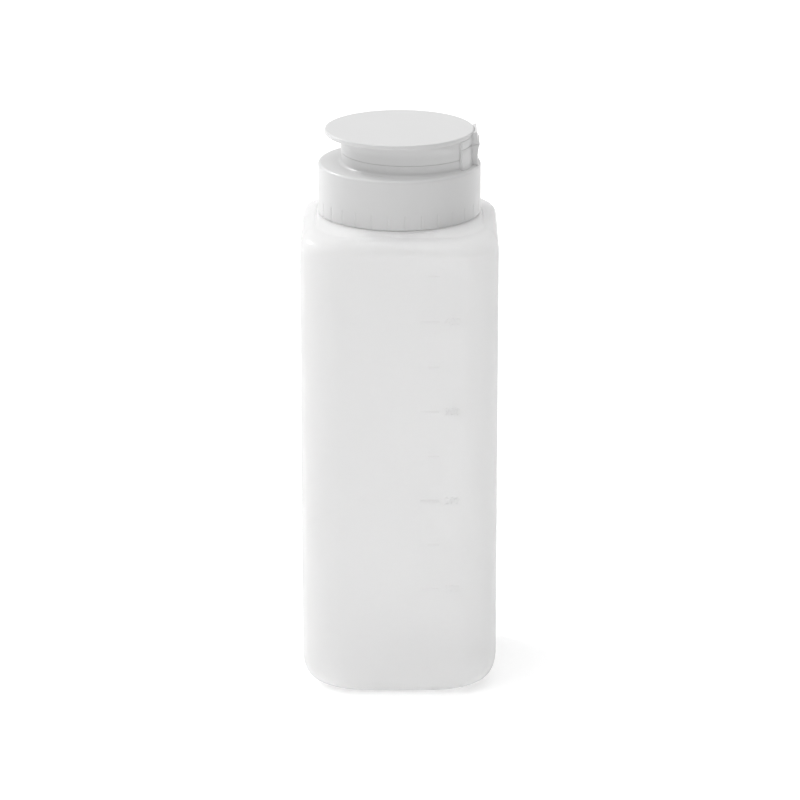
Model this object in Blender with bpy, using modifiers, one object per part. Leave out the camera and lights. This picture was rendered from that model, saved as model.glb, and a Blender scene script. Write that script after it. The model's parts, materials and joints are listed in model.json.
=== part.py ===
"""Square squeeze bottle with a screw cap and a hinged flip-top lid.

Metres, +Z up. The origin is the centre of the bottle's standing plane. The lid's hinge is at +X, its
thumb tab at -X. The cap turns about the Z axis, on a right-hand thread.
"""

import math

import bmesh
import bpy
from mathutils import Matrix, Vector

MM = 0.001

# Bottle
BODY_WIDTH = 63.0 * MM
BODY_EDGE_RADIUS = 12.0 * MM
BOTTLE_WALL = 1.1 * MM
SHOULDER_HEIGHT = 153.0 * MM
SHOULDER_CURVE_HEIGHT = 5.5 * MM
SHOULDER_INSET = 4.5 * MM
SHOULDER_CORNER_RADIUS = 15.0 * MM
SHOULDER_DOME = 2.0 * MM
BASE_CURVE_HEIGHT = 12.4 * MM
BASE_INSET = 5.9 * MM
BASE_CORNER_RADIUS = 17.0 * MM
STANDING_RING_WIDTH = 4.0 * MM
PUSH_UP_DEPTH = 1.5 * MM
PUSH_UP_SLOPE_WIDTH = 3.0 * MM

# Neck and thread
NECK_RADIUS = 22.6 * MM
NECK_HEIGHT = 13.0 * MM
NECK_FILLET = 0.8 * MM
THREAD_PITCH = 4.2 * MM
THREAD_BEAD_RADIUS = 1.0 * MM
THREAD_BEAD_SINK = 0.15 * MM
THREAD_RADIAL_CLEARANCE = 0.3 * MM
THREAD_START_ABOVE_NECK_ROOT = 3.6 * MM
NECK_THREAD_TURNS = 1.5
CAP_THREAD_TURNS = 1.25
CAP_THREAD_LEAD_TURNS = 0.7

# Cap
CAP_WALL = 2.25 * MM
CAP_DECK_THICKNESS = 1.6 * MM
CAP_EDGE_RADIUS = 1.0 * MM
CAP_BOTTOM_GAP = 0.5 * MM
FLUTE_COUNT = 30
FLUTE_PHASE = 0.85
FLUTE_WIDTH = 0.7 * MM
FLUTE_DEPTH = 0.4 * MM
FLUTE_HEIGHT = 5.0 * MM

# Platform under the lid, set off towards the hinge
PLATFORM_OFFSET = 2.55 * MM
LEDGE_WIDTH_AT_HINGE = 2.25 * MM
PLATFORM_HEIGHT = 3.55 * MM
PLATFORM_WALL = 2.6 * MM
SPOUT_RADIUS = 3.2 * MM
SPOUT_HEIGHT = 3.6 * MM
SPOUT_BORE_RADIUS = 1.75 * MM
CATCH_RIM_WIDTH = 0.9 * MM
CATCH_RIM_HEIGHT = 1.3 * MM

# Sealing ring
SEAL_THICKNESS = 1.0 * MM
SEAL_WIDTH = 2.6 * MM

# Lid
LID_DISC_INSET = 2.2 * MM
LID_DISC_THICKNESS = 1.4 * MM
LID_HEIGHT = 7.0 * MM
LID_WALL = 1.3 * MM
PLUG_DEPTH = 1.4 * MM

# Hinge strap
LEAF_THICKNESS = 0.9 * MM
LEAF_BOW = 0.3 * MM
LEAF_HALF_SPAN = 5.9 * MM
FILM_HALF_SPAN = 5.0 * MM
FILM_RADIUS = 0.2 * MM
HINGE_BELOW_LID_TOP = 4.2 * MM
HINGE_OUTSIDE_LEAF = 0.2 * MM
LEAF_END_GAP = 0.5 * MM

# Clearances between separate pieces
TOUCH_GAP = 0.3 * MM
PLUG_CLEARANCE = 0.35 * MM
CATCH_CLEARANCE = 0.5 * MM

# Facets
ROUND_STEPS = 72
SMALL_ROUND_STEPS = 24
SIDE_STEPS = 6
CORNER_STEPS = 8
CURVE_STEPS = 6
BEAD_STEPS_PER_TURN = 24
MERGE = 0.00001

# Heights and radii that follow from the sizes above
NECK_ROOT_Z = SHOULDER_HEIGHT + SHOULDER_DOME
LIP_Z = NECK_ROOT_Z + NECK_HEIGHT
SEAL_BOTTOM_Z = LIP_Z + TOUCH_GAP
DECK_UNDERSIDE_Z = SEAL_BOTTOM_Z + SEAL_THICKNESS + TOUCH_GAP
LEDGE_Z = DECK_UNDERSIDE_Z + CAP_DECK_THICKNESS
PLATFORM_Z = LEDGE_Z + PLATFORM_HEIGHT
LID_BOTTOM_Z = PLATFORM_Z + TOUCH_GAP
LID_TOP_Z = LID_BOTTOM_Z + LID_HEIGHT
DISC_UNDERSIDE_Z = LID_TOP_Z - LID_DISC_THICKNESS
CAP_BOTTOM_Z = SHOULDER_HEIGHT + SHOULDER_DOME + CAP_BOTTOM_GAP - NECK_FILLET / 2
THREAD_DEPTH = THREAD_BEAD_RADIUS - THREAD_BEAD_SINK
CAP_BORE_RADIUS = NECK_RADIUS + THREAD_DEPTH + THREAD_RADIAL_CLEARANCE
CAP_RADIUS = CAP_BORE_RADIUS + CAP_WALL
PLATFORM_RADIUS = CAP_RADIUS - LEDGE_WIDTH_AT_HINGE - PLATFORM_OFFSET
LID_DISC_RADIUS = CAP_RADIUS - LID_DISC_INSET
HINGE_Z = LID_TOP_Z - HINGE_BELOW_LID_TOP
LEAF_FOOT_RADIUS = PLATFORM_OFFSET + PLATFORM_RADIUS + TOUCH_GAP + LEAF_THICKNESS
HINGE_X = LEAF_FOOT_RADIUS + LEAF_BOW + HINGE_OUTSIDE_LEAF

COLOURS = {
    "frosted_body": ((0.86, 0.87, 0.87, 1.0), 0.42),
    "white_cap": ((0.88, 0.88, 0.88, 1.0), 0.25),
    "soft_seal": ((0.80, 0.81, 0.82, 1.0), 0.55),
}


def clear_scene():
    for old in list(bpy.data.objects):
        bpy.data.objects.remove(old, do_unlink=True)


def new_collection(name):
    collection = bpy.data.collections.new(name)
    bpy.context.scene.collection.children.link(collection)
    return collection


def material_for(name, finish):
    colour, roughness = COLOURS[finish]
    material = bpy.data.materials.new(name + "_material")
    material.use_nodes = True
    shader = material.node_tree.nodes["Principled BSDF"]
    shader.inputs["Base Color"].default_value = colour
    shader.inputs["Roughness"].default_value = roughness
    shader.inputs["Metallic"].default_value = 0.0
    return material


def add_object(name, mesh, collection, location=(0.0, 0.0, 0.0)):
    piece = bpy.data.objects.new(name, mesh)
    piece.location = location
    collection.objects.link(piece)
    return piece


def as_part(piece, finish):
    piece.data.materials.clear()
    piece.data.materials.append(material_for(piece.name, finish))
    return piece


def as_tool(piece):
    """Marks a shape that only cuts or joins other shapes."""
    piece.hide_render = True
    piece.display_type = "WIRE"
    return piece


def arc(centre_radius, centre_z, radius, start_deg, end_deg, steps=4):
    """Points (radius, height) along a round corner of a turned outline."""
    points = []
    for step in range(steps + 1):
        angle = math.radians(start_deg + (end_deg - start_deg) * step / steps)
        points.append((centre_radius + radius * math.cos(angle), centre_z + radius * math.sin(angle)))
    return points


def turned(name, outline, collection, centre_x=0.0, closed=False, steps=ROUND_STEPS):
    """Turns an outline of (radius, height) points about a vertical axis. It runs down its outer side."""
    mesh = bpy.data.meshes.new(name)
    edges = [(index, index + 1) for index in range(len(outline) - 1)]
    if closed:
        edges.append((len(outline) - 1, 0))
    mesh.from_pydata([(radius, 0.0, height) for radius, height in outline], edges, [])
    piece = add_object(name, mesh, collection, (centre_x, 0.0, 0.0))
    screw = piece.modifiers.new("turn", "SCREW")
    screw.axis = "Z"
    screw.angle = 2.0 * math.pi
    screw.steps = steps
    screw.render_steps = steps
    screw.use_merge_vertices = True
    screw.merge_threshold = MERGE
    screw.use_smooth_shade = True
    return piece


def box(name, low, high, collection):
    """A box between two corners."""
    mesh = bpy.data.meshes.new(name)
    shape = bmesh.new()
    size = Vector(high) - Vector(low)
    middle = (Vector(high) + Vector(low)) / 2
    bmesh.ops.create_cube(shape, size=1.0, matrix=Matrix.Translation(middle) @ Matrix.Diagonal((*size, 1.0)))
    shape.to_mesh(mesh)
    shape.free()
    return add_object(name, mesh, collection)


def combine(piece, tool, operation):
    """Adds an exact Boolean, with the tool hidden from the finished object."""
    boolean = piece.modifiers.new(operation.lower() + "_" + tool.name, "BOOLEAN")
    boolean.operation = operation
    boolean.object = as_tool(tool)
    boolean.solver = "EXACT"


def thread_bead(name, radius, start_z, start_turn, turns, collection):
    """A round bead along a right-hand helix, tapered at both ends, as a closed mesh."""
    count = round(turns * BEAD_STEPS_PER_TURN)
    curve = bpy.data.curves.new(name, "CURVE")
    curve.dimensions = "3D"
    curve.bevel_depth = THREAD_BEAD_RADIUS
    curve.bevel_resolution = 2
    curve.use_fill_caps = True
    spline = curve.splines.new("POLY")
    spline.points.add(count)
    taper_steps = 3
    for step in range(count + 1):
        turn = start_turn + turns * step / count
        angle = 2.0 * math.pi * turn
        height = start_z + THREAD_PITCH * turn
        spline.points[step].co = (radius * math.cos(angle), radius * math.sin(angle), height, 1.0)
        from_end = min(step, count - step)
        spline.points[step].radius = min(1.0, 0.4 + 0.6 * from_end / taper_steps)
    guide = add_object(name + "_curve", curve, collection)
    bpy.context.view_layer.update()
    evaluated = guide.evaluated_get(bpy.context.evaluated_depsgraph_get())
    mesh = bpy.data.meshes.new_from_object(evaluated)
    shape = bmesh.new()
    shape.from_mesh(mesh)
    bmesh.ops.remove_doubles(shape, verts=shape.verts, dist=MERGE)
    bmesh.ops.recalc_face_normals(shape, faces=shape.faces)
    shape.to_mesh(mesh)
    shape.free()
    bead = add_object(name, mesh, collection)
    bead.matrix_world = guide.matrix_world
    bpy.data.objects.remove(guide, do_unlink=True)
    return bead


def rounded_square(half_width, corner_radius):
    """Points of a square with round corners, anticlockwise, starting at the -45 degree corner's end."""
    straight = half_width - corner_radius
    points = []
    for quarter in range(4):
        turn = Matrix.Rotation(quarter * math.pi / 2, 2)
        for step in range(SIDE_STEPS):
            points.append(turn @ Vector((half_width, -straight + 2 * straight * step / SIDE_STEPS)))
        for step in range(CORNER_STEPS):
            angle = math.pi / 2 * step / CORNER_STEPS
            corner = Vector((math.cos(angle), math.sin(angle))) * corner_radius
            points.append(turn @ (Vector((straight, straight)) + corner))
    return points


def circle(radius):
    """As many points as rounded_square gives, with the same starting place."""
    count = 4 * (SIDE_STEPS + CORNER_STEPS)
    start = -SIDE_STEPS / 2
    return [
        Vector((radius * math.cos(angle), radius * math.sin(angle)))
        for angle in (2.0 * math.pi * (start + index) / count for index in range(count))
    ]


def bottle_sections():
    """The bottle's outer surface from the middle of its base to its lip, as (height, points)."""
    half = BODY_WIDTH / 2
    base_half = half - BASE_INSET
    inner_ring = base_half - STANDING_RING_WIDTH
    panel = inner_ring - PUSH_UP_SLOPE_WIDTH
    sections = [
        (PUSH_UP_DEPTH, rounded_square(panel, BASE_CORNER_RADIUS - STANDING_RING_WIDTH)),
        (0.0, rounded_square(inner_ring, BASE_CORNER_RADIUS - STANDING_RING_WIDTH)),
    ]
    for step in range(CURVE_STEPS + 1):
        angle = math.pi / 2 * step / CURVE_STEPS
        inward = 1 - math.sin(angle)
        corner = BODY_EDGE_RADIUS + (BASE_CORNER_RADIUS - BODY_EDGE_RADIUS) * inward
        height = BASE_CURVE_HEIGHT * (1 - math.cos(angle))
        sections.append((height, rounded_square(half - BASE_INSET * inward, corner)))
    for step in range(CURVE_STEPS + 1):
        angle = math.pi / 2 * (1 - step / CURVE_STEPS)
        inward = 1 - math.sin(angle)
        corner = BODY_EDGE_RADIUS + (SHOULDER_CORNER_RADIUS - BODY_EDGE_RADIUS) * inward
        height = SHOULDER_HEIGHT - SHOULDER_CURVE_HEIGHT * (1 - math.cos(angle))
        sections.append((height, rounded_square(half - SHOULDER_INSET * inward, corner)))
    ridge = sections[-1][1]
    root = circle(NECK_RADIUS + NECK_FILLET)
    for share in (0.35, 0.7, 1.0):
        points = [edge.lerp(neck, share) for edge, neck in zip(ridge, root)]
        sections.append((SHOULDER_HEIGHT + SHOULDER_DOME * share, points))
    sections.append((NECK_ROOT_Z + NECK_FILLET, circle(NECK_RADIUS)))
    sections.append((LIP_Z, circle(NECK_RADIUS)))
    return sections


def make_bottle(parts, tools):
    sections = bottle_sections()
    shape = bmesh.new()
    rings = [[shape.verts.new((point.x, point.y, height)) for point in points] for height, points in sections]
    shape.faces.new(list(reversed(rings[0])))
    for lower, upper in zip(rings, rings[1:]):
        count = len(lower)
        for index in range(count):
            following = (index + 1) % count
            shape.faces.new((lower[index], lower[following], upper[following], upper[index]))
    mesh = bpy.data.meshes.new("bottle_body")
    shape.to_mesh(mesh)
    shape.free()
    mesh.shade_smooth()
    bottle = add_object("bottle_body", mesh, parts)
    wall = bottle.modifiers.new("wall", "SOLIDIFY")
    wall.thickness = BOTTLE_WALL
    wall.offset = -1.0
    wall.use_even_offset = True
    wall.use_rim = True
    thread_z = NECK_ROOT_Z + THREAD_START_ABOVE_NECK_ROOT
    bead = thread_bead("neck_thread", NECK_RADIUS - THREAD_BEAD_SINK, thread_z, 0.0, NECK_THREAD_TURNS, tools)
    combine(bottle, bead, "UNION")
    return as_part(bottle, "frosted_body")


def make_seal(parts):
    outer = CAP_BORE_RADIUS - TOUCH_GAP
    inner = outer - SEAL_WIDTH
    top = SEAL_BOTTOM_Z + SEAL_THICKNESS
    outline = [(outer, top), (outer, SEAL_BOTTOM_Z), (inner, SEAL_BOTTOM_Z), (inner, top)]
    return as_part(turned("sealing_ring", outline, parts, closed=True), "soft_seal")


def make_flutes(tools):
    """Upright grooves round the lower part of the skirt, as one cutter."""
    shape = bmesh.new()
    low = CAP_BOTTOM_Z - TOUCH_GAP
    high = CAP_BOTTOM_Z + FLUTE_HEIGHT
    size = Vector((2 * FLUTE_DEPTH, FLUTE_WIDTH, high - low))
    for index in range(FLUTE_COUNT):
        spin = Matrix.Rotation(2.0 * math.pi * (index + FLUTE_PHASE) / FLUTE_COUNT, 4, "Z")
        place = Matrix.Translation((CAP_RADIUS, 0.0, (low + high) / 2))
        bmesh.ops.create_cube(shape, size=1.0, matrix=spin @ place @ Matrix.Diagonal((*size, 1.0)))
    mesh = bpy.data.meshes.new("flutes")
    shape.to_mesh(mesh)
    shape.free()
    return add_object("flutes", mesh, tools)


def make_cap(parts, tools):
    shoulder = arc(CAP_RADIUS - CAP_EDGE_RADIUS, LEDGE_Z - CAP_EDGE_RADIUS, CAP_EDGE_RADIUS, 90, 0)
    outline = [(0.0, LEDGE_Z), *shoulder, (CAP_RADIUS, CAP_BOTTOM_Z), (0.0, CAP_BOTTOM_Z)]
    cap = turned("cap_base", outline, parts)

    drum_outline = [
        (0.0, PLATFORM_Z),
        (PLATFORM_RADIUS, PLATFORM_Z),
        (PLATFORM_RADIUS, DECK_UNDERSIDE_Z + CAP_DECK_THICKNESS / 2),
        (0.0, DECK_UNDERSIDE_Z + CAP_DECK_THICKNESS / 2),
    ]
    drum = turned("platform_drum", drum_outline, tools, PLATFORM_OFFSET)
    combine(cap, drum, "UNION")

    bore_outline = [
        (0.0, DECK_UNDERSIDE_Z),
        (CAP_BORE_RADIUS, DECK_UNDERSIDE_Z),
        (CAP_BORE_RADIUS, CAP_BOTTOM_Z - CAP_WALL),
        (0.0, CAP_BOTTOM_Z - CAP_WALL),
    ]
    combine(cap, turned("cap_bore", bore_outline, tools), "DIFFERENCE")

    hollow_radius = PLATFORM_RADIUS - PLATFORM_WALL
    hollow_top = PLATFORM_Z - CAP_DECK_THICKNESS
    hollow_outline = [
        (0.0, hollow_top),
        (hollow_radius, hollow_top),
        (hollow_radius, DECK_UNDERSIDE_Z - CAP_DECK_THICKNESS),
        (0.0, DECK_UNDERSIDE_Z - CAP_DECK_THICKNESS),
    ]
    combine(cap, turned("platform_hollow", hollow_outline, tools, PLATFORM_OFFSET), "DIFFERENCE")

    spout_top = PLATFORM_Z + SPOUT_HEIGHT
    spout_root = PLATFORM_Z - CAP_DECK_THICKNESS / 2
    spout_outline = [
        (0.0, spout_top),
        (SPOUT_RADIUS * 0.85, spout_top),
        (SPOUT_RADIUS, PLATFORM_Z),
        (SPOUT_RADIUS, spout_root),
        (0.0, spout_root),
    ]
    combine(cap, turned("spout", spout_outline, tools, steps=SMALL_ROUND_STEPS), "UNION")

    rim_outer = PLATFORM_RADIUS - LID_WALL - CATCH_CLEARANCE
    rim_inner = rim_outer - CATCH_RIM_WIDTH
    rim_top = PLATFORM_Z + CATCH_RIM_HEIGHT
    rim_root = PLATFORM_Z - CAP_DECK_THICKNESS / 2
    rim_outline = [(rim_outer, rim_top), (rim_outer, rim_root), (rim_inner, rim_root), (rim_inner, rim_top)]
    rim = turned("catch_rim", rim_outline, tools, PLATFORM_OFFSET, closed=True)
    rim_end_x = PLATFORM_OFFSET + rim_outer * 0.3
    open_side = box(
        "catch_rim_opening",
        (rim_end_x, -PLATFORM_RADIUS, rim_root - TOUCH_GAP),
        (PLATFORM_OFFSET + PLATFORM_RADIUS, PLATFORM_RADIUS, rim_top + TOUCH_GAP),
        tools,
    )
    combine(rim, open_side, "DIFFERENCE")
    combine(cap, rim, "UNION")

    hole_outline = [
        (0.0, spout_top + CAP_DECK_THICKNESS),
        (SPOUT_BORE_RADIUS, spout_top + CAP_DECK_THICKNESS),
        (SPOUT_BORE_RADIUS, hollow_top - CAP_DECK_THICKNESS),
        (0.0, hollow_top - CAP_DECK_THICKNESS),
    ]
    combine(cap, turned("spout_hole", hole_outline, tools, steps=SMALL_ROUND_STEPS), "DIFFERENCE")

    thread_z = NECK_ROOT_Z + THREAD_START_ABOVE_NECK_ROOT + THREAD_PITCH / 2
    bead_radius = CAP_BORE_RADIUS + THREAD_BEAD_SINK
    bead = thread_bead("cap_thread", bead_radius, thread_z, -CAP_THREAD_LEAD_TURNS, CAP_THREAD_TURNS, tools)
    combine(cap, bead, "UNION")
    combine(cap, make_flutes(tools), "DIFFERENCE")
    return as_part(cap, "white_cap")


def make_hinge_axis(parts):
    """The empty that the lid and its leaf hang on, on the line they swing about."""
    hinge_axis = bpy.data.objects.new("lid_hinge_axis", None)
    hinge_axis.location = (HINGE_X, 0.0, HINGE_Z)
    parts.objects.link(hinge_axis)
    return hinge_axis


def hang_on(piece, holder):
    piece.parent = holder
    piece.location = piece.location - holder.location


def make_lid(parts, tools, hinge_axis):
    half_thick = LID_DISC_THICKNESS / 2
    rim = arc(LID_DISC_RADIUS - half_thick, LID_TOP_Z - half_thick, half_thick, 90, -90, 6)
    disc_outline = [(0.0, LID_TOP_Z), *rim, (0.0, DISC_UNDERSIDE_Z)]
    lid = turned("flip_lid", disc_outline, parts)
    hang_on(lid, hinge_axis)

    wall_top = LID_TOP_Z - half_thick
    inner = PLATFORM_RADIUS - LID_WALL
    skirt_outline = [
        (PLATFORM_RADIUS, wall_top),
        (PLATFORM_RADIUS, LID_BOTTOM_Z),
        (inner, LID_BOTTOM_Z),
        (inner, wall_top),
    ]
    combine(lid, turned("lid_skirt", skirt_outline, tools, PLATFORM_OFFSET, closed=True), "UNION")

    plug_radius = SPOUT_BORE_RADIUS - PLUG_CLEARANCE
    plug_tip = PLATFORM_Z + SPOUT_HEIGHT - PLUG_DEPTH
    plug_outline = [
        (0.0, wall_top),
        (plug_radius, wall_top),
        (plug_radius, plug_tip + plug_radius / 2),
        (plug_radius / 2, plug_tip),
        (0.0, plug_tip),
    ]
    combine(lid, turned("lid_plug", plug_outline, tools, steps=SMALL_ROUND_STEPS), "UNION")
    return as_part(lid, "white_cap")


def make_leaf(name, outline, parts, tools):
    """A strap leaf, cut off square at both ends. It follows the cap's circle outside and the skirt inside."""
    leaf = turned(name, outline, parts, closed=True)
    heights = [height for _, height in outline]
    low, high = min(heights) - TOUCH_GAP, max(heights) + TOUCH_GAP
    span_low = (CAP_RADIUS / 2, -LEAF_HALF_SPAN, low)
    span_high = (CAP_RADIUS * 1.5, LEAF_HALF_SPAN, high)
    combine(leaf, box(name + "_span", span_low, span_high, tools), "INTERSECT")
    reach = PLATFORM_RADIUS + TOUCH_GAP
    skirt_outline = [(0.0, high), (reach, high), (reach, low), (0.0, low)]
    combine(leaf, turned(name + "_skirt_side", skirt_outline, tools, PLATFORM_OFFSET), "DIFFERENCE")
    return leaf


def make_hinge(parts, tools, hinge_axis):
    foot = LEAF_FOOT_RADIUS
    knee = foot + LEAF_BOW
    core = CAP_RADIUS / 4
    lower_top = HINGE_Z - LEAF_END_GAP
    bend_z = (LEDGE_Z + HINGE_Z) / 2
    lower = [
        (knee, lower_top),
        (foot, bend_z),
        (foot, LEDGE_Z + TOUCH_GAP),
        (core, LEDGE_Z + TOUCH_GAP),
        (core, lower_top),
    ]
    as_part(make_leaf("cap_hinge_leaf", lower, parts, tools), "white_cap")

    upper_bottom = HINGE_Z + LEAF_END_GAP
    disc_side = LID_DISC_RADIUS + TOUCH_GAP
    upper = [
        (foot, LID_TOP_Z - TOUCH_GAP),
        (knee, upper_bottom),
        (core, upper_bottom),
        (core, DISC_UNDERSIDE_Z - TOUCH_GAP),
        (disc_side, DISC_UNDERSIDE_Z - TOUCH_GAP),
        (disc_side, LID_TOP_Z - TOUCH_GAP),
    ]
    lid_leaf = make_leaf("lid_hinge_leaf", upper, parts, tools)
    hang_on(lid_leaf, hinge_axis)
    as_part(lid_leaf, "white_cap")

    mesh = bpy.data.meshes.new("hinge_film")
    shape = bmesh.new()
    lie_along_y = Matrix.Rotation(math.pi / 2, 4, "X")
    bmesh.ops.create_cone(
        shape,
        cap_ends=True,
        segments=SMALL_ROUND_STEPS // 2,
        radius1=FILM_RADIUS,
        radius2=FILM_RADIUS,
        depth=2 * FILM_HALF_SPAN,
        matrix=lie_along_y,
    )
    shape.to_mesh(mesh)
    shape.free()
    mesh.shade_smooth()
    mesh.set_sharp_from_angle(angle=math.radians(40))
    film = add_object("hinge_film", mesh, parts, (HINGE_X, 0.0, HINGE_Z))
    as_part(film, "white_cap")


def main():
    clear_scene()
    parts = new_collection("flip_top_squeeze_bottle")
    tools = new_collection("cutters")
    make_bottle(parts, tools)
    make_seal(parts)
    make_cap(parts, tools)
    hinge_axis = make_hinge_axis(parts)
    make_lid(parts, tools, hinge_axis)
    make_hinge(parts, tools, hinge_axis)


main()
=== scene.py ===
"""Looks of the square squeeze bottle with its flip-top cap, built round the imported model.

Metres, +Z up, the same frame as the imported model: hinge at +X, thumb tab at -X, front face at -Y.
"""

import json
import math

import bmesh
import bpy
from mathutils import Matrix, Vector


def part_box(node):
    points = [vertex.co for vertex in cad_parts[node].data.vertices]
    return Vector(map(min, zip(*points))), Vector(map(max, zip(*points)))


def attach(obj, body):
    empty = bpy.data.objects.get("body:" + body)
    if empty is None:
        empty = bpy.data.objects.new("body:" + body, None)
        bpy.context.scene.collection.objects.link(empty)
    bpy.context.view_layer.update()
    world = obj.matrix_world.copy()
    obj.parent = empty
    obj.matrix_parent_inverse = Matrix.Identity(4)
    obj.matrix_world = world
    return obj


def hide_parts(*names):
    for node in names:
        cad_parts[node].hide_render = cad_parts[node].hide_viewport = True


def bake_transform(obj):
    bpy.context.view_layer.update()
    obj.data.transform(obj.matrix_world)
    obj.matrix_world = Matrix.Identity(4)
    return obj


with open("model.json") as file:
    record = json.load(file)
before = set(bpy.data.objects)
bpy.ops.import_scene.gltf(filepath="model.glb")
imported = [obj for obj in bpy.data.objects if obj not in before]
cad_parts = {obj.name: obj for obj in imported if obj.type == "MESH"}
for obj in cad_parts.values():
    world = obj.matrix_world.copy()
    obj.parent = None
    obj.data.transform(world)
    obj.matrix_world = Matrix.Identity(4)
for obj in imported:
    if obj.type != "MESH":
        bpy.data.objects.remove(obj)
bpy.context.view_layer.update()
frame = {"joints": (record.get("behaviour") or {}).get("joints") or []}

MM = 0.001

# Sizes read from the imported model
BODY_LOW, BODY_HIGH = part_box("bottle_body")
CAP_LOW, CAP_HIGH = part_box("cap_base")
LID_LOW, LID_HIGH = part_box("flip_lid")
SEAL_LOW, SEAL_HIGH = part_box("sealing_ring")
JOINTS = {joint["name"]: joint for joint in frame["joints"]}

HALF = BODY_HIGH.x
LIP_Z = BODY_HIGH.z
CAP_RADIUS = -CAP_LOW.x
CAP_BOTTOM_Z = CAP_LOW.z
LID_RADIUS = -LID_LOW.x
LID_TOP_Z = LID_HIGH.z
STRAP_HALF_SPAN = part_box("cap_hinge_leaf")[1].y
HINGE_X, _, HINGE_Z = JOINTS["lid_hinge"]["pos_m"]
TURNED_DEG = JOINTS["cap_turn"]["range_deg"]
RAISED = JOINTS["cap_rise"]["range_m"]
THREAD_LEAD = (RAISED[1] - RAISED[0]) / ((TURNED_DEG[1] - TURNED_DEG[0]) / 360.0)

# Bottle form
WALL = 1.1 * MM
EDGE_RADIUS = 12.0 * MM
BASE_CURVE_HEIGHT = 12.4 * MM
BASE_INSET = 5.9 * MM
BASE_CORNER_RADIUS = 17.0 * MM
STANDING_RING_WIDTH = 4.0 * MM
PUSH_UP_DEPTH = 1.5 * MM
PUSH_UP_SLOPE_WIDTH = 3.0 * MM
NECK_HEIGHT = 13.0 * MM
NECK_ROOT_Z = LIP_Z - NECK_HEIGHT
SHOULDER_DOME = 2.0 * MM
RIDGE_Z = NECK_ROOT_Z - SHOULDER_DOME
SEAT_RADIUS = 26.1 * MM
SEAT_RISE = 1.9 * MM
SHOULDER_CURVE_HEIGHT = 5.5 * MM
SHOULDER_INSET = 4.5 * MM
SHOULDER_CORNER_RADIUS = 15.0 * MM
NECK_RADIUS = 22.6 * MM
NECK_FILLET = 0.8 * MM

# Moulded scale on the front face
FIRST_MARK_Z = 37.1 * MM
MARK_STEP = 29.9 * MM
MARK_RELIEF = 0.16 * MM
MARK_SUNK = 0.1 * MM
MARK_DEPTH = MARK_SUNK + MARK_RELIEF
MARK_MIDDLE_Y = BODY_LOW.y + (MARK_SUNK - MARK_RELIEF) / 2
TICK_RIGHT = 12.6 * MM
TICK_HEIGHT = 0.45 * MM
NUMERAL_LEFT = 14.2 * MM

# Thread
BEAD_DEPTH = 0.85 * MM
BEAD_HALF_WIDTH = 1.0 * MM
BEAD_TAPER_TURNS = 0.09
THREAD_CLEARANCE = 0.3 * MM
NECK_THREAD_Z = NECK_ROOT_Z + 3.6 * MM
NECK_THREAD_TURNS = (0.0, 1.5)
CAP_THREAD_Z = NECK_THREAD_Z + THREAD_LEAD / 2
CAP_THREAD_TURNS = (-0.7, 0.55)
CAP_BORE_RADIUS = NECK_RADIUS + BEAD_DEPTH + THREAD_CLEARANCE

# Cap and lid form
SEAL_GAP = 0.3 * MM
SEAL_WIDTH = 2.6 * MM
DECK_UNDERSIDE_Z = SEAL_HIGH.z + SEAL_GAP
DECK_THICKNESS = 1.6 * MM
LEDGE_Z = DECK_UNDERSIDE_Z + DECK_THICKNESS
LEDGE_WIDTH_AT_HINGE = 2.25 * MM
PLATFORM_OFFSET = 2.55 * MM
PLATFORM_RADIUS = CAP_RADIUS - LEDGE_WIDTH_AT_HINGE - PLATFORM_OFFSET
PLATFORM_HEIGHT = 3.55 * MM
PLATFORM_Z = LEDGE_Z + PLATFORM_HEIGHT
PLATFORM_WALL = 2.6 * MM
SPOUT_RADIUS = 3.2 * MM
SPOUT_TOP_Z = CAP_HIGH.z
SPOUT_BORE = 1.75 * MM
RIM_WIDTH = 0.9 * MM
RIM_HEIGHT = 1.3 * MM
RIM_OPEN_HALF_ANGLE = math.radians(68)
LID_WALL = 1.3 * MM
DISC_THICKNESS = 1.45 * MM
DISC_UNDERSIDE_Z = LID_TOP_Z - DISC_THICKNESS
FLARE_WIDTH = 2.4 * MM
FLARE_HEIGHT = 3.8 * MM
PARTING_GAP = 0.05 * MM
PARTING_EDGE = 0.07 * MM
AXIS_HOLE = 0.05 * MM
PLUG_RADIUS = 1.4 * MM
PLUG_TIP_Z = SPOUT_TOP_Z - 1.4 * MM
FLUTES = 30
FLUTE_PHASE = 0.85
FLUTE_DEPTH = 0.16 * MM
FLUTE_HALF_SHARE = 0.09
FLUTE_HEIGHT = 5.0 * MM
FLUTE_FADE = 0.9 * MM

# Camera and floor
VIEW_ELEVATION = math.radians(17.95)
VIEW_DISTANCE = 1.333
VIEW_TARGET = Vector((0.0002, 0.0, 0.0909))
VIEW_LENS = 184.5
FLOOR_GLOW = 0.2
FLOOR_SIZE = 6.0

# Hinge form
WEB_HALF_SPAN = 13.3 * MM
WEB_RADIUS = LID_RADIUS + 0.1 * MM
KNEE_X = HINGE_X - 0.2 * MM
CREASE_SLIT = 0.05 * MM
CREASE_CHAMFER = 0.16 * MM
ROOTED = -0.1 * MM

# Fineness of round shapes
SHARP_ANGLE = math.radians(38)
ROUND_STEPS = 192
SIDE_STEPS = 14
CORNER_STEPS = 26


# ---------------------------------------------------------------- mesh helpers


def smooth(value):
    """Runs from 0 to 1 with level ends, and stays there outside them."""
    value = min(1.0, max(0.0, value))
    return value * value * (3.0 - 2.0 * value)


def arc(radius, height, size, start_deg, end_deg, steps=6):
    """Points (radius, height) along a round corner of an outline."""
    angles = [math.radians(start_deg + (end_deg - start_deg) * step / steps) for step in range(steps + 1)]
    return [(radius + size * math.cos(angle), height + size * math.sin(angle)) for angle in angles]


def off_centre(points):
    """The same outline points, turned about the platform's own axis."""
    return [(radius, height, PLATFORM_OFFSET) for radius, height in points]


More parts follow.
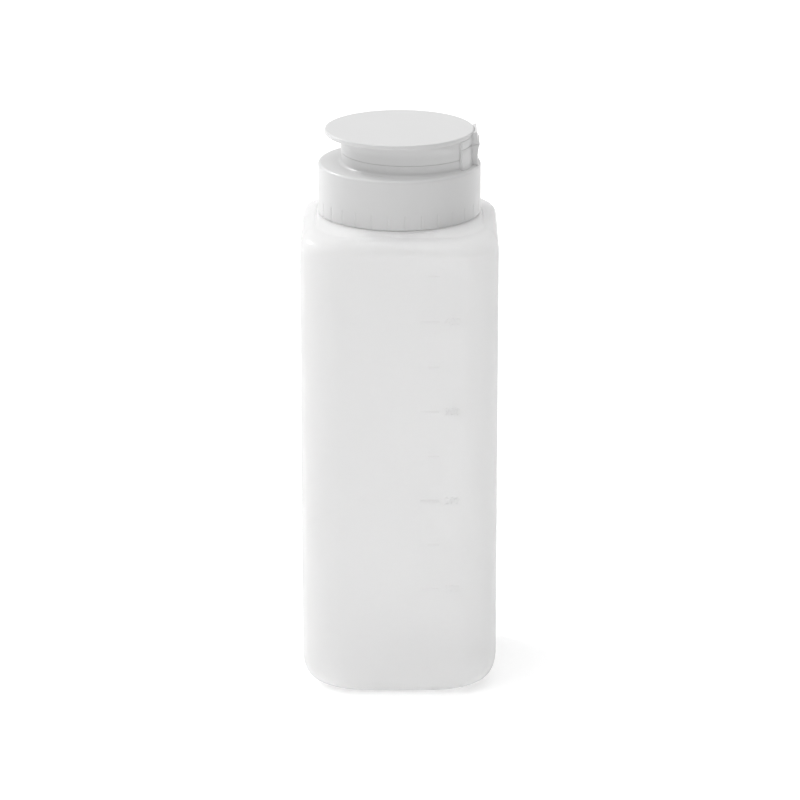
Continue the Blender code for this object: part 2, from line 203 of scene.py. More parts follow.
def link(name, data):
    piece = bpy.data.objects.new(name, data)
    bpy.context.scene.collection.objects.link(piece)
    return piece


def skin(name, rings, join):
    """Quads between rings of equal length. join is loop (last ring meets first) or caps (ends filled)."""
    shape = bmesh.new()
    rows = [[shape.verts.new(point) for point in ring] for ring in rings]
    pairs = list(zip(rows, rows[1:]))
    if join == "loop":
        pairs.append((rows[-1], rows[0]))
    for first, second in pairs:
        count = len(first)
        for index in range(count):
            after = (index + 1) % count
            shape.faces.new((first[index], second[index], second[after], first[after]))
    if join == "caps":
        shape.faces.new(rows[0])
        shape.faces.new(list(reversed(rows[-1])))
    bmesh.ops.recalc_face_normals(shape, faces=shape.faces)
    mesh = bpy.data.meshes.new(name)
    shape.to_mesh(mesh)
    shape.free()
    mesh.shade_smooth()
    mesh.set_sharp_from_angle(angle=SHARP_ANGLE)
    piece = link(name, mesh)
    flat_first = piece.modifiers.new("flat_faces_lead", "WEIGHTED_NORMAL")
    flat_first.keep_sharp = True
    return piece


def even_angles(steps=ROUND_STEPS):
    return [2.0 * math.pi * index / steps for index in range(steps)]


def plain(radius, height, angle):
    return radius, height


def turned(outline, angles, relief=plain):
    """Rings from (radius, height) or (radius, height, centre_x) points, each moved as relief says."""
    rings = []
    for radius, height, *centre in outline:
        middle = centre[0] if centre else 0.0
        ring = []
        for angle in angles:
            around, up = relief(radius, height, angle)
            ring.append(Vector((middle + around * math.cos(angle), around * math.sin(angle), up)))
        rings.append(ring)
    return rings


def bead_height(angle, height, start_z, turns):
    """How far a thread bead stands out of a wall at this place, tapered at both ends."""
    first, last = turns
    around = angle / (2.0 * math.pi)
    turn = around + round((height - start_z) / THREAD_LEAD - around)
    if not first <= turn <= last:
        return 0.0
    across = abs(height - start_z - THREAD_LEAD * turn) / BEAD_HALF_WIDTH
    if across >= 1.0:
        return 0.0
    taper = smooth((turn - first) / BEAD_TAPER_TURNS) * smooth((last - turn) / BEAD_TAPER_TURNS)
    return BEAD_DEPTH * math.sqrt(1.0 - across * across) * taper


# ---------------------------------------------------------------- materials


def new_material(name, colour, roughness):
    material = bpy.data.materials.new(name)
    material.use_nodes = True
    shader = material.node_tree.nodes["Principled BSDF"]
    shader.inputs["Base Color"].default_value = (*colour, 1.0)
    shader.inputs["Roughness"].default_value = roughness
    return material, material.node_tree, shader


def noise(tree, scale, detail=3.0, stretch=(1.0, 1.0, 1.0)):
    """Noise in the object's own metres. A stretch above 1 on an axis makes it finer that way."""
    place = tree.nodes.new("ShaderNodeTexCoord")
    mapping = tree.nodes.new("ShaderNodeMapping")
    mapping.inputs["Scale"].default_value = stretch
    texture = tree.nodes.new("ShaderNodeTexNoise")
    texture.inputs["Scale"].default_value = scale
    texture.inputs["Detail"].default_value = detail
    tree.links.new(place.outputs["Object"], mapping.inputs["Vector"])
    tree.links.new(mapping.outputs["Vector"], texture.inputs["Vector"])
    return texture.outputs["Fac"]


def ranged(tree, source, low, high):
    """A noise value spread between low and high."""
    spread = tree.nodes.new("ShaderNodeMapRange")
    spread.inputs["From Min"].default_value = 0.3
    spread.inputs["From Max"].default_value = 0.7
    spread.inputs["To Min"].default_value = low
    spread.inputs["To Max"].default_value = high
    tree.links.new(source, spread.inputs["Value"])
    return spread.outputs["Result"]


def tinted(tree, source, first, second):
    """A colour that drifts between two close tones."""
    ramp = tree.nodes.new("ShaderNodeValToRGB")
    ramp.color_ramp.elements[0].position = 0.35
    ramp.color_ramp.elements[1].position = 0.65
    ramp.color_ramp.elements[0].color = (*first, 1.0)
    ramp.color_ramp.elements[1].color = (*second, 1.0)
    tree.links.new(source, ramp.inputs["Fac"])
    return ramp.outputs["Color"]


def bumped(tree, shader, layers):
    """Adds bumps in a chain. Each layer is (height source, depth in metres)."""
    last = None
    for source, depth in layers:
        bump = tree.nodes.new("ShaderNodeBump")
        bump.inputs["Strength"].default_value = 1.0
        bump.inputs["Distance"].default_value = depth
        tree.links.new(source, bump.inputs["Height"])
        if last:
            tree.links.new(last, bump.inputs["Normal"])
        last = bump.outputs["Normal"]
    tree.links.new(last, shader.inputs["Normal"])


def frosted_plastic():
    """Milky blow-moulded polyethylene: light comes through it, and its satin skin has faint flow waves."""
    material, tree, shader = new_material("frosted_polyethylene", (0.994, 0.993, 0.993), 0.42)
    shader.inputs["Subsurface Weight"].default_value = 0.35
    shader.inputs["Subsurface Radius"].default_value = (1.0, 1.0, 1.0)
    shader.inputs["Subsurface Scale"].default_value = 0.006
    shader.inputs["Transmission Weight"].default_value = 0.4
    shader.inputs["IOR"].default_value = 1.14
    shader.inputs["Coat Weight"].default_value = 0.28
    shader.inputs["Coat Roughness"].default_value = 0.12
    clouds = tinted(tree, noise(tree, 38.0, 4.0), (0.99, 0.989, 0.989), (0.998, 0.997, 0.997))
    tree.links.new(clouds, shader.inputs["Base Color"])
    tree.links.new(ranged(tree, noise(tree, 160.0, 5.0), 0.36, 0.50), shader.inputs["Roughness"])
    waves = noise(tree, 55.0, 2.0, (1.0, 1.0, 0.35))
    grain = noise(tree, 2600.0, 2.0)
    bumped(tree, shader, [(waves, 0.00022), (grain, 0.00002)])
    return material


def white_plastic():
    """Opaque white polypropylene: a semi-gloss skin with faint mould ripple and fine handling marks."""
    material, tree, shader = new_material("white_polypropylene", (0.65, 0.65, 0.65), 0.36)
    shader.inputs["Specular IOR Level"].default_value = 0.6
    shader.inputs["Coat Weight"].default_value = 0.25
    shader.inputs["Coat Roughness"].default_value = 0.12
    shader.inputs["Subsurface Weight"].default_value = 0.12
    shader.inputs["Subsurface Radius"].default_value = (1.0, 1.0, 1.0)
    shader.inputs["Subsurface Scale"].default_value = 0.0015
    clouds = tinted(tree, noise(tree, 60.0, 3.0), (0.645, 0.645, 0.645), (0.655, 0.655, 0.655))
    tree.links.new(clouds, shader.inputs["Base Color"])
    tree.links.new(ranged(tree, noise(tree, 30.0, 2.0), 0.34, 0.38), shader.inputs["Roughness"])
    ripple = noise(tree, 45.0, 1.0)
    grain = noise(tree, 3500.0, 2.0)
    bumped(tree, shader, [(ripple, 0.00003), (grain, 0.000004)])
    return material


def soft_elastomer():
    """Matt translucent silicone of the sealing ring."""
    material, tree, shader = new_material("seal_silicone", (0.78, 0.79, 0.80), 0.55)
    shader.inputs["Subsurface Weight"].default_value = 0.4
    shader.inputs["Subsurface Scale"].default_value = 0.002
    tree.links.new(ranged(tree, noise(tree, 500.0, 4.0), 0.48, 0.62), shader.inputs["Roughness"])
    bumped(tree, shader, [(noise(tree, 1800.0, 3.0), 0.00003)])
    return material


def floor_material():
    """A pale light table: a matt white sheet, lit faintly from below."""
    material, tree, shader = new_material("pale_floor", (0.99, 0.99, 0.99), 0.9)
    shader.inputs["Specular IOR Level"].default_value = 0.1
    shader.inputs["Emission Color"].default_value = (1.0, 1.0, 1.0, 1.0)
    shader.inputs["Emission Strength"].default_value = FLOOR_GLOW
    clouds = tinted(tree, noise(tree, 8.0, 3.0), (0.985, 0.985, 0.985), (0.99, 0.99, 0.99))
    tree.links.new(clouds, shader.inputs["Base Color"])
    return material


def finish_piece(piece, material, body, replaced=()):
    """Gives a piece its material and its body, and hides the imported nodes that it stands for."""
    piece.data.materials.append(material)
    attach(piece, body)
    if replaced:
        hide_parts(*replaced)


# ---------------------------------------------------------------- bottle


def rounded_square(half_width, corner_radius):
    """Points round a square with round corners, from the +X side anticlockwise."""
    straight = half_width - corner_radius
    points = []
    for quarter in range(4):
        turn = Matrix.Rotation(quarter * math.pi / 2, 2)
        for step in range(SIDE_STEPS):
            points.append(turn @ Vector((half_width, -straight + 2 * straight * step / SIDE_STEPS)))
        for step in range(CORNER_STEPS):
            angle = math.pi / 2 * step / CORNER_STEPS
            corner = Vector((math.cos(angle), math.sin(angle))) * corner_radius
            points.append(turn @ (Vector((straight, straight)) + corner))
    return points


def neck_angles():
    """One angle for each point of the rounded square, so that the neck's rings join the body's."""
    count = 4 * (SIDE_STEPS + CORNER_STEPS)
    return [2.0 * math.pi * (index - SIDE_STEPS / 2) / count for index in range(count)]


def circle(radius, height=0.0, beads=False):
    points = []
    for angle in neck_angles():
        around = radius
        if beads:
            around += bead_height(angle % (2.0 * math.pi), height, NECK_THREAD_Z, NECK_THREAD_TURNS)
        points.append(Vector((around * math.cos(angle), around * math.sin(angle))))
    return points


def shell_sections(inward):
    """Sections (height, points) from the standing ring up to the neck's root, drawn in by inward."""
    half = HALF - inward
    sections = []
    curve_steps = 14
    for step in range(curve_steps + 1):
        angle = math.pi / 2 * step / curve_steps
        pull = 1 - math.sin(angle)
        corner = EDGE_RADIUS - inward + (BASE_CORNER_RADIUS - EDGE_RADIUS) * pull
        height = inward + (BASE_CURVE_HEIGHT - inward) * (1 - math.cos(angle))
        sections.append((height, rounded_square(half - BASE_INSET * pull, corner)))
    for step in range(curve_steps + 1):
        angle = math.pi / 2 * (1 - step / curve_steps)
        pull = 1 - math.sin(angle)
        corner = EDGE_RADIUS - inward + (SHOULDER_CORNER_RADIUS - EDGE_RADIUS) * pull
        height = RIDGE_Z - inward - (SHOULDER_CURVE_HEIGHT - inward) * (1 - math.cos(angle))
        sections.append((height, rounded_square(half - SHOULDER_INSET * pull, corner)))
    ridge = sections[-1][1]
    seat = circle(SEAT_RADIUS - inward)
    seat_steps = 12
    for step in range(1, seat_steps + 1):
        share = step / seat_steps
        points = [edge.lerp(middle, share) for edge, middle in zip(ridge, seat)]
        sections.append((RIDGE_Z - inward + SEAT_RISE * smooth(share), points))
    root = circle(NECK_RADIUS + NECK_FILLET - inward)
    for share in (0.3, 0.7, 1.0):
        points = [edge.lerp(neck, share) for edge, neck in zip(seat, root)]
        height = RIDGE_Z - inward + SEAT_RISE + (SHOULDER_DOME - SEAT_RISE) * smooth(share)
        sections.append((height, points))
    return sections


def outer_neck():
    sections = []
    fillet = arc(NECK_RADIUS + NECK_FILLET, NECK_ROOT_Z + NECK_FILLET, NECK_FILLET, 270, 180, 5)
    for radius, height in fillet[1:]:
        sections.append((height, circle(radius)))
    bead_low = NECK_THREAD_Z - BEAD_HALF_WIDTH
    bead_high = NECK_THREAD_Z + THREAD_LEAD * NECK_THREAD_TURNS[1] + BEAD_HALF_WIDTH
    rows = 46
    for row in range(rows + 1):
        height = bead_low + (bead_high - bead_low) * row / rows
        sections.append((height, circle(NECK_RADIUS, height, beads=True)))
    lip_round = 0.4 * MM
    for radius, height in arc(NECK_RADIUS - lip_round, LIP_Z - lip_round, lip_round, 0, 90, 4):
        sections.append((height, circle(radius)))
    return sections


def inner_neck():
    lip_round = 0.3 * MM
    bore = NECK_RADIUS - WALL
    sections = []
    for radius, height in arc(bore + lip_round, LIP_Z - lip_round, lip_round, 90, 180, 4):
        sections.append((height, circle(radius)))
    sections.append((NECK_ROOT_Z, circle(bore)))
    return sections


def base_panel(inward):
    """The push-up in the base, from its middle out to the standing ring's inner edge."""
    base_half = HALF - BASE_INSET
    ring_half = base_half - STANDING_RING_WIDTH
    corner = BASE_CORNER_RADIUS - STANDING_RING_WIDTH
    sections = []
    flat_half = ring_half - PUSH_UP_SLOPE_WIDTH
    for share in (0.02, 0.5):
        sections.append((PUSH_UP_DEPTH + inward, rounded_square(flat_half * share, corner * share)))
    steps = 8
    for step in range(steps + 1):
        share = step / steps
        half = ring_half - PUSH_UP_SLOPE_WIDTH * (1 - share)
        drop = PUSH_UP_DEPTH * (1 - smooth(share))
        sections.append((drop + inward, rounded_square(half, corner)))
    return sections


def make_bottle(material):
    outside = base_panel(0.0) + shell_sections(0.0) + outer_neck()
    inside = inner_neck() + list(reversed(shell_sections(WALL))) + list(reversed(base_panel(WALL)))
    rings = [[Vector((point.x, point.y, height)) for point in points] for height, points in outside + inside]
    bottle = skin("bottle_shell", rings, "caps")
    finish_piece(bottle, material, "bottle", ["bottle_body"])


def make_ticks(material):
    """Eight raised ticks, long at each numeral and short between."""
    shape = bmesh.new()
    for index in range(8):
        length = (6.0 if index % 2 == 0 else 3.5) * MM
        centre = Vector((TICK_RIGHT - length / 2, MARK_MIDDLE_Y, FIRST_MARK_Z + MARK_STEP * index / 2))
        size = Matrix.Diagonal((length, MARK_DEPTH, TICK_HEIGHT, 1.0))
        bmesh.ops.create_cube(shape, size=1.0, matrix=Matrix.Translation(centre) @ size)
    mesh = bpy.data.meshes.new("graduation_ticks")
    shape.to_mesh(mesh)
    shape.free()
    ticks = link("graduation_ticks", mesh)
    soften = ticks.modifiers.new("soft_edges", "BEVEL")
    soften.width = 0.07 * MM
    soften.segments = 2
    finish_piece(ticks, material, "bottle")


def make_numeral(material, value, height):
    bevel = 0.03 * MM
    text = bpy.data.curves.new("numeral", "FONT")
    text.body = str(value)
    text.size = 3.4 * MM
    text.extrude = MARK_DEPTH / 2 - bevel
    text.bevel_depth = bevel
    text.align_y = "CENTER"
    writing = link("numeral", text)
    place = Vector((NUMERAL_LEFT, MARK_MIDDLE_Y, height))
    writing.matrix_world = Matrix.Translation(place) @ Matrix.Rotation(math.pi / 2, 4, "X")
    bpy.context.view_layer.update()
    evaluated = writing.evaluated_get(bpy.context.evaluated_depsgraph_get())
    solid = bpy.data.meshes.new_from_object(evaluated)
    numeral = link(f"graduation_{value}", solid)
    numeral.matrix_world = writing.matrix_world.copy()
    bpy.data.objects.remove(writing, do_unlink=True)
    welded = bmesh.new()
    welded.from_mesh(solid)
    bmesh.ops.remove_doubles(welded, verts=welded.verts, dist=0.001 * MM)
    welded.to_mesh(solid)
    welded.free()
    numeral.data.materials.clear()
    finish_piece(numeral, material, "bottle")


def make_graduations(material):
    """Faint moulded scale on the front face, with a numeral each 100 ml."""
    make_ticks(material)
    for index in range(4):
        make_numeral(material, 100 * (index + 1), FIRST_MARK_Z + MARK_STEP * index)


# ---------------------------------------------------------------- cap


def fluted_angles():
    """Angles close together at each groove and wider between them."""
    in_groove = (-0.11, -0.075, -0.05, -0.025, 0.0, 0.025, 0.05, 0.075, 0.11)
    between = (0.18, 0.28, 0.4, 0.52, 0.64, 0.74, 0.82)
    pitch = 2.0 * math.pi / FLUTES
    return [pitch * (index + FLUTE_PHASE + share) for index in range(FLUTES) for share in in_groove + between]


def flute_cut(angle, height):
    """Depth of the upright groove at this place on the skirt."""
    share = (angle * FLUTES / (2.0 * math.pi) - FLUTE_PHASE + 0.5) % 1.0 - 0.5
    across = smooth(1.0 - abs(share) / FLUTE_HALF_SHARE)
    up = smooth((CAP_BOTTOM_Z + FLUTE_HEIGHT - height) / FLUTE_FADE)
    return FLUTE_DEPTH * across * up


def cap_relief(radius, height, angle):
    """Grooves outside the skirt, the thread inside it, and the catch rim fading out towards the hinge."""
    touch = 0.01 * MM
    skin_depth = 0.9 * MM
    rim_fade = math.radians(10)
    if radius > CAP_RADIUS - skin_depth and height < CAP_BOTTOM_Z + FLUTE_HEIGHT + MM:
        return radius - flute_cut(angle, height), height
    if abs(radius - CAP_BORE_RADIUS) < touch and height < DECK_UNDERSIDE_Z:
        return radius - bead_height(angle, height, CAP_THREAD_Z, CAP_THREAD_TURNS), height
    if PLATFORM_Z + touch < height and radius > 2 * SPOUT_RADIUS:
        from_hinge = abs((angle + math.pi) % (2.0 * math.pi) - math.pi)
        share = 0.02 + 0.98 * smooth((from_hinge - RIM_OPEN_HALF_ANGLE) / rim_fade)
        return radius, PLATFORM_Z + (height - PLATFORM_Z) * share
    return radius, height


def spout_outline():
    """From the mouth of the spout over its lip and down to the platform."""
    lip = 0.25 * MM
    slope = 0.5 * MM
    root = 0.8 * MM
    points = arc(SPOUT_BORE + lip, SPOUT_TOP_Z - lip, lip, 180, 90, 4)
    points += arc(SPOUT_RADIUS - slope - lip, SPOUT_TOP_Z - lip, lip, 90, 0, 4)
    points += arc(SPOUT_RADIUS + root, PLATFORM_Z + root, root, 180, 270, 6)
    return points


def platform_outline():
    """The catch rim, the platform's edge and its foot on the ledge."""
    soft = 0.25 * MM
    nick = 0.1 * MM
    foot = 1.1 * MM
    rim_outer = PLATFORM_RADIUS - LID_WALL - 0.5 * MM
    rim_inner = rim_outer - RIM_WIDTH
    rim_top = PLATFORM_Z + RIM_HEIGHT
    edge = PARTING_EDGE
    points = [(rim_inner - nick, PLATFORM_Z), (rim_inner, PLATFORM_Z + nick)]
    points += arc(rim_inner + soft, rim_top - soft, soft, 180, 90, 4)
    points += arc(rim_outer - soft, rim_top - soft, soft, 90, 0, 4)
    points += [(rim_outer, PLATFORM_Z + nick), (rim_outer + nick, PLATFORM_Z)]
    points += arc(PLATFORM_RADIUS - edge, PLATFORM_Z - edge, edge, 90, 0, 4)
    points += arc(PLATFORM_RADIUS + foot, LEDGE_Z + foot, foot, 180, 270, 8)
    return points


def skirt_outline():
    """From the ledge's round edge down the fluted skirt, round its lower edge and up the threaded bore."""
    edge = 1.0 * MM
    low_edge = 0.15 * MM
    low_bore = 0.3 * MM
    high_bore = 0.4 * MM
    flute_rows = 12
    bead_rows = 36
    flute_top = CAP_BOTTOM_Z + FLUTE_HEIGHT
    bead_low = CAP_THREAD_Z + THREAD_LEAD * CAP_THREAD_TURNS[0] - BEAD_HALF_WIDTH
    bead_high = CAP_THREAD_Z + THREAD_LEAD * CAP_THREAD_TURNS[1] + BEAD_HALF_WIDTH
    points = arc(CAP_RADIUS - edge, LEDGE_Z - edge, edge, 90, 0, 8)
    points += [(CAP_RADIUS, flute_top + FLUTE_FADE)]
    points += [(CAP_RADIUS, flute_top - FLUTE_FADE * row / flute_rows) for row in range(flute_rows + 1)]
    points += arc(CAP_RADIUS - low_edge, CAP_BOTTOM_Z + low_edge, low_edge, 0, -90, 4)
    points += arc(CAP_BORE_RADIUS + low_bore, CAP_BOTTOM_Z + low_bore, low_bore, -90, -180, 4)
    for row in range(bead_rows + 1):
        points.append((CAP_BORE_RADIUS, bead_low + (bead_high - bead_low) * row / bead_rows))
    points += arc(CAP_BORE_RADIUS - high_bore, DECK_UNDERSIDE_Z - high_bore, high_bore, 0, 90, 4)
    return points


def hollow_outline():
    """The hollow under the platform, from its mouth in the deck's underside to its ceiling."""
    nick = 0.1 * MM
    soft = 0.5 * MM
    hollow = PLATFORM_RADIUS - PLATFORM_WALL
    ceiling = PLATFORM_Z - DECK_THICKNESS
    points = [(hollow + nick, DECK_UNDERSIDE_Z), (hollow, DECK_UNDERSIDE_Z + nick)]
    points += arc(hollow - soft, ceiling - soft, soft, 0, 90, 5)
    return points


def cap_outline():
    """One loop round the cap's wall: spout, platform, ledge, skirt, thread, deck and the spout's hole."""
    hole_edge = 0.3 * MM
    ceiling = PLATFORM_Z - DECK_THICKNESS
    points = spout_outline() + off_centre(platform_outline()) + skirt_outline() + off_centre(hollow_outline())
    return points + [(SPOUT_BORE + hole_edge, ceiling), (SPOUT_BORE, ceiling + hole_edge)]


def make_cap(material):
    cap = skin("cap_shell", turned(cap_outline(), fluted_angles(), cap_relief), "loop")
    finish_piece(cap, material, "cap", ["cap_base"])


def make_seal(material):
    soft = 0.3 * MM
    outer = SEAL_HIGH.x
    inner = outer - SEAL_WIDTH
    points = arc(outer - soft, SEAL_HIGH.z - soft, soft, 90, 0, 4)
    points += arc(outer - soft, SEAL_LOW.z + soft, soft, 0, -90, 4)
    points += arc(inner + soft, SEAL_LOW.z + soft, soft, -90, -180, 4)
    points += arc(inner + soft, SEAL_HIGH.z - soft, soft, 180, 90, 4)
    seal = skin("seal_washer", turned(points, even_angles()), "loop")
    finish_piece(seal, material, "seal", ["sealing_ring"])


# ---------------------------------------------------------------- lid


def lid_flare():
    """Concave sweep from the disc's underside into the skirt."""
    steps = 12
    points = []
    for step in range(steps + 1):
        angle = math.pi / 2 * (1 + step / steps)
        reach = PLATFORM_RADIUS + FLARE_WIDTH * (1 + math.cos(angle))
        points.append((reach, DISC_UNDERSIDE_Z - FLARE_HEIGHT * (1 - math.sin(angle))))
    return points


def lid_skirt_outline():
    """The flare, the skirt's lower edge and its inside, up to the disc's underside."""
    edge = PARTING_EDGE
    corner = 0.4 * MM
    bottom = PLATFORM_Z + PARTING_GAP
    inner = PLATFORM_RADIUS - LID_WALL
    points = lid_flare()
    points += arc(PLATFORM_RADIUS - edge, bottom + edge, edge, 0, -90, 4)
    points += arc(inner + edge, bottom + edge, edge, -90, -180, 4)
    points += arc(inner - corner, DISC_UNDERSIDE_Z - corner, corner, 0, 90, 5)
    return points


def lid_outline():
    """From the middle of the disc's top, over its rim, round the skirt and down the plug to its tip."""
    top_soft = 0.5 * MM
    low_soft = 0.3 * MM
    root = 0.6 * MM
    tip = 0.7 * MM
    points = [(AXIS_HOLE, LID_TOP_Z), (LID_RADIUS * 0.5, LID_TOP_Z)]
    points += arc(LID_RADIUS - top_soft, LID_TOP_Z - top_soft, top_soft, 90, 0, 6)
    points += arc(LID_RADIUS - low_soft, DISC_UNDERSIDE_Z + low_soft, low_soft, 0, -90, 6)
    points += off_centre(lid_skirt_outline())
    points += arc(PLUG_RADIUS + root, DISC_UNDERSIDE_Z - root, root, 90, 180, 5)
    points += arc(PLUG_RADIUS - tip, PLUG_TIP_Z + tip, tip, 0, -85, 6)
    return points + [(AXIS_HOLE, PLUG_TIP_Z)]


def make_lid(material):
    """The skirt's flare is off the disc's centre, so it is held inside the disc's rim."""
    limit = LID_RADIUS - 0.55 * MM
    outline = lid_outline()
    rings = turned(outline, even_angles())
    for point, ring in zip(outline, rings):
        if len(point) < 3:
            continue
        for place in ring:
            reach = math.hypot(place.x, place.y)
            if reach > limit:
                place.xy *= limit / reach
    finish_piece(skin("lid_shell", rings, "caps"), material, "lid", ["flip_lid"])


# ---------------------------------------------------------------- hinge strap


def strap_reach(follows, size, across):
    """How far out a point of the hinge stands: flat, on the cap's circle, or just outside the round skirt."""
    if follows == "flat":
        return size
    if follows == "band":
        return math.sqrt(size * size - across * across)
    return PLATFORM_OFFSET + math.sqrt((PLATFORM_RADIUS + size) ** 2 - across * across)


def hinge_leaf(name, strap, web, backing):
    """A flat strap in the middle and a lower web on both sides, lofted from end to end.

    strap and web are outlines of (what it follows, size, height), with as many points each.
    backing closes both of them.
    """
    edge = 0.12 * MM
    half_strap, half_web = STRAP_HALF_SPAN, WEB_HALF_SPAN
    side_steps, middle_steps = 16, 12
    stations = []
    for step in range(side_steps + 1):
        stations.append((-half_web + (half_web - half_strap) * step / side_steps, web))
    for step in range(middle_steps + 1):
        across = (half_strap - edge) * (2.0 * step / middle_steps - 1.0)
        stations.append((across, strap))
    for step in range(side_steps + 1):
        stations.append((half_strap + (half_web - half_strap) * step / side_steps, web))
    rings = []
    for across, outline in stations:
        ring = []
        for follows, size, height in outline + backing:
            ring.append(Vector((strap_reach(follows, size, across), across, height)))
        rings.append(ring)
    return skin(name, rings, "caps")


def make_lower_leaf(material):
    """Rises from the cap's ledge to the crease and backs onto the platform's side."""
    foot = KNEE_X - 0.5 * MM
    low_bend = (LEDGE_Z + HINGE_Z) / 2
    root = LEDGE_Z - 0.3 * MM
    end = HINGE_Z - CREASE_SLIT
    clear = 0.08 * MM
    strap = [
        ("flat", foot + 0.55 * MM, root),
        ("flat", foot + 0.4 * MM, LEDGE_Z + 0.15 * MM),
        ("flat", foot + 0.12 * MM, LEDGE_Z + 0.6 * MM),
        ("flat", foot, LEDGE_Z + 1.3 * MM),
        ("flat", foot + 0.08 * MM, low_bend),
        ("flat", KNEE_X, end - CREASE_CHAMFER),
        ("flat", KNEE_X - CREASE_CHAMFER, end),
    ]
    web = [
        ("band", WEB_RADIUS + 0.3 * MM, root),
        ("band", WEB_RADIUS + 0.3 * MM, LEDGE_Z + 0.15 * MM),
        ("band", WEB_RADIUS + 0.1 * MM, LEDGE_Z + 0.5 * MM),
        ("band", WEB_RADIUS, LEDGE_Z + 1.0 * MM),
        ("band", WEB_RADIUS, HINGE_Z - 1.3 * MM),
        ("band", WEB_RADIUS - 0.02 * MM, HINGE_Z - 1.1 * MM),
        ("band", WEB_RADIUS - 0.22 * MM, end),
    ]
    backing = [
        ("skirt", clear, end),
        ("skirt", clear, PLATFORM_Z),
        ("skirt", ROOTED, PLATFORM_Z - 0.15 * MM),
        ("skirt", ROOTED, root),
    ]
    leaf = hinge_leaf("hinge_lower_leaf", strap, web, backing)
    finish_piece(leaf, material, "cap", ["cap_hinge_leaf"])


def make_upper_leaf(material):
    """Hangs from the lid's disc to the crease and backs onto the lid's skirt."""
    reach = KNEE_X - 0.75 * MM
    top = LID_TOP_Z - 0.06 * MM
    under = DISC_UNDERSIDE_Z
    groove = LID_RADIUS + 0.04 * MM
    end = HINGE_Z + CREASE_SLIT
    strap = [
        ("flat", KNEE_X - CREASE_CHAMFER, end),
        ("flat", KNEE_X, end + CREASE_CHAMFER),
        ("flat", reach + 0.3 * MM, HINGE_Z + 2.0 * MM),
        ("flat", reach, top - 0.15 * MM),
        ("flat", reach - 0.12 * MM, top),
        ("flat", reach - 0.3 * MM, top),
        ("band", groove, top - 0.5 * MM),
        ("band", groove, under + 0.2 * MM),
    ]
    web = [
        ("band", WEB_RADIUS - 0.22 * MM, end),
        ("band", WEB_RADIUS - 0.02 * MM, HINGE_Z + 1.1 * MM),
        ("band", WEB_RADIUS, HINGE_Z + 1.3 * MM),
        ("band", WEB_RADIUS, under - 0.5 * MM),
        ("band", WEB_RADIUS - 0.05 * MM, under - 0.1 * MM),
        ("band", WEB_RADIUS - 0.2 * MM, under + 0.05 * MM),
        ("band", LID_RADIUS - 0.4 * MM, under + 0.1 * MM),
        ("band", LID_RADIUS - 0.5 * MM, under + 0.15 * MM),
    ]
    backing = [("skirt", ROOTED, under + 0.15 * MM), ("skirt", ROOTED, end)]
    leaf = hinge_leaf("hinge_upper_leaf", strap, web, backing)
    finish_piece(leaf, material, "lid", ["lid_hinge_leaf"])


def make_hinge_web(material):
    """The thin film across the crease between the cap and the lid, drawn as a straight strip."""
    half_span = 5.0 * MM
    half_height = 0.5 * MM
    thickness = 0.3 * MM
    rows = 24
    corners = (
        (HINGE_X - thickness, -half_span),
        (HINGE_X, -half_span),
        (HINGE_X, half_span),
        (HINGE_X - thickness, half_span),
    )
    rings = []
    for row in range(rows + 1):
        height = HINGE_Z - half_height + 2.0 * half_height * row / rows
        rings.append([Vector((x, y, height)) for x, y in corners])
    film = skin("hinge_web", rings, "caps")
    film.data.materials.append(material)
    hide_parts("hinge_film")
    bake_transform(film)


# ---------------------------------------------------------------- studio


def make_floor():
    mesh = bpy.data.meshes.new("floor")
    shape = bmesh.new()
    bmesh.ops.create_grid(shape, x_segments=2, y_segments=2, size=FLOOR_SIZE)
    shape.to_mesh(mesh)
    shape.free()
    floor = link("floor", mesh)
    floor.location.z = BODY_LOW.z - 0.05 * MM
    floor.data.materials.append(floor_material())


def add_softbox(name, place, size, power, diffuse=1.0):
    light = bpy.data.lights.new(name, "AREA")
    light.shape = "RECTANGLE"
    light.size = size[0]
    light.size_y = size[1]
    light.energy = power
    light.diffuse_factor = diffuse
    light.transmission_factor = diffuse
    lamp = bpy.data.objects.new(name, light)
    lamp.location = place
    lamp.rotation_euler = (Vector(VIEW_TARGET) - Vector(place)).to_track_quat("-Z", "Y").to_euler()
    bpy.context.scene.collection.objects.link(lamp)


def by_direction(tree, axis, start, end, low, high):
    """A strength that goes smoothly from low to high as a part of the sky's direction goes start to end."""
    spread = tree.nodes.new("ShaderNodeMapRange")
    spread.interpolation_type = "SMOOTHSTEP"
    spread.inputs["From Min"].default_value = start
    spread.inputs["From Max"].default_value = end
    spread.inputs["To Min"].default_value = low
    spread.inputs["To Max"].default_value = high
    tree.links.new(axis, spread.inputs["Value"])
    return spread.outputs["Result"]


def combined(tree, operation, first, second):
    total = tree.nodes.new("ShaderNodeMath")
    total.operation = operation
    tree.links.new(first, total.inputs[0])
    tree.links.new(second, total.inputs[1])
    return total.outputs["Value"]


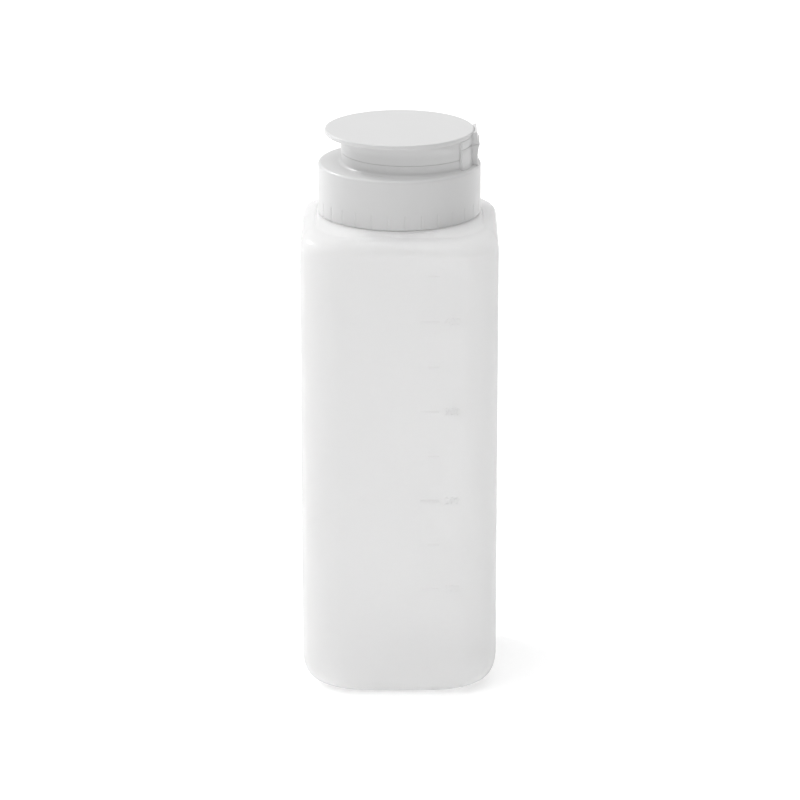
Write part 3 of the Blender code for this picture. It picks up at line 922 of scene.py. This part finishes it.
def make_sky():
    """A studio tent: dim at the right and front, brighter at the left, behind and overhead."""
    world = bpy.data.worlds.new("studio")
    bpy.context.scene.world = world
    world.use_nodes = True
    tree = world.node_tree
    background = tree.nodes["Background"]
    background.inputs["Color"].default_value = (1.0, 1.0, 1.0, 1.0)
    place = tree.nodes.new("ShaderNodeTexCoord")
    split = tree.nodes.new("ShaderNodeSeparateXYZ")
    tree.links.new(place.outputs["Generated"], split.inputs["Vector"])
    behind = by_direction(tree, split.outputs["Y"], -0.15, 0.9, 0.18, 0.82)
    leftward = by_direction(tree, split.outputs["X"], -0.1, -1.0, 0.0, 0.26)
    overhead = by_direction(tree, split.outputs["Z"], 0.3, 0.9, 0.0, 0.93)
    around = combined(tree, "ADD", behind, leftward)
    tree.links.new(combined(tree, "MAXIMUM", around, overhead), background.inputs["Strength"])


def make_studio():
    make_sky()
    add_softbox("overhead_softbox", (-0.25, -0.45, 1.3), (1.1, 1.0), 4.7)
    add_softbox("left_highlight_softbox", (-0.85, 0.65, 0.95), (0.2, 0.2), 4.5, diffuse=0.0)
    add_softbox("left_key_softbox", (-0.95, 0.1, 0.85), (0.4, 0.4), 0.7)
    add_softbox("left_rim_softbox", (-0.85, 0.6, 0.45), (0.4, 0.9), 0.7)
    add_softbox("right_rim_softbox", (0.8, 0.75, 0.45), (0.4, 0.9), 0.6)


def make_camera():
    camera = bpy.data.cameras.new("camera")
    camera.lens = VIEW_LENS
    camera.sensor_width = 36.0
    holder = bpy.data.objects.new("camera", camera)
    back = Vector((0.0, -math.cos(VIEW_ELEVATION), math.sin(VIEW_ELEVATION)))
    holder.location = VIEW_TARGET + back * VIEW_DISTANCE
    holder.rotation_euler = (math.pi / 2 - VIEW_ELEVATION, 0.0, 0.0)
    bpy.context.scene.collection.objects.link(holder)
    bpy.context.scene.camera = holder
    bpy.context.scene.view_settings.view_transform = "Standard"


def let_light_travel():
    """Lets light cross the bottle's two walls and its white surroundings many times before it is dropped."""
    cycles = bpy.context.scene.cycles
    cycles.max_bounces = 24
    cycles.diffuse_bounces = 12
    cycles.transmission_bounces = 24


def main():
    make_camera()
    let_light_travel()
    make_studio()
    make_floor()
    frosted = frosted_plastic()
    white = white_plastic()
    make_bottle(frosted)
    make_graduations(frosted)
    make_seal(soft_elastomer())
    make_cap(white)
    make_lid(white)
    make_lower_leaf(white)
    make_upper_leaf(white)
    make_hinge_web(white)


main()
bpy.context.view_layer.update()
